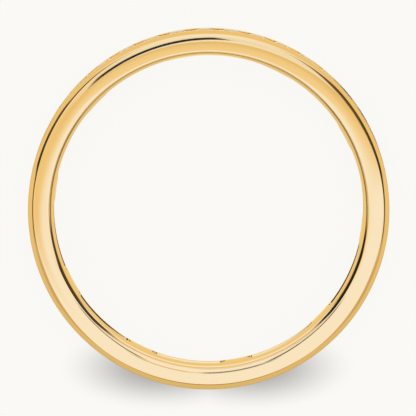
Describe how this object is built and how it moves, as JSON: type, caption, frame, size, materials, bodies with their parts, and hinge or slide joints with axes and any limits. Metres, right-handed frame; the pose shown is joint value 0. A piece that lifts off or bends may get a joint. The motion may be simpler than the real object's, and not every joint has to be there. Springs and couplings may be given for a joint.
{
  "type": "channel set band",
  "caption": "Slim gold ring with round cut stones set edge to edge all the way round in a channel between polished walls, with long slots behind the stones.",
  "frame": {"origin": "centre of the ring, on the surface that its lower side face rests on", "axes": "+Z is the finger axis, and the ring lies on its side on Z = 0; +Y is the top of the ring as the picture shows it"},
  "size_m": [0.0204, 0.0204, 0.0021],
  "materials": {
    "yellow_gold": "polished",
    "clear_stone": "polished"
  },
  "bodies": {
    "root": {"band": "yellow_gold", "stone_01": "clear_stone", "stone_02": "clear_stone", "stone_03": "clear_stone", "stone_04": "clear_stone", "stone_05": "clear_stone", "stone_06": "clear_stone", "stone_07": "clear_stone", "stone_08": "clear_stone", "stone_09": "clear_stone", "stone_10": "clear_stone", "stone_11": "clear_stone", "stone_12": "clear_stone", "stone_13": "clear_stone", "stone_14": "clear_stone", "stone_15": "clear_stone", "stone_16": "clear_stone", "stone_17": "clear_stone", "stone_18": "clear_stone", "stone_19": "clear_stone", "stone_20": "clear_stone", "stone_21": "clear_stone", "stone_22": "clear_stone", "stone_23": "clear_stone", "stone_24": "clear_stone", "stone_25": "clear_stone", "stone_26": "clear_stone", "stone_27": "clear_stone", "stone_28": "clear_stone", "stone_29": "clear_stone", "stone_30": "clear_stone", "stone_31": "clear_stone", "stone_32": "clear_stone", "stone_33": "clear_stone", "stone_34": "clear_stone", "stone_35": "clear_stone", "stone_36": "clear_stone", "stone_37": "clear_stone", "stone_38": "clear_stone", "stone_39": "clear_stone", "stone_40": "clear_stone", "stone_41": "clear_stone", "stone_42": "clear_stone"}
  },
  "joints": []
}
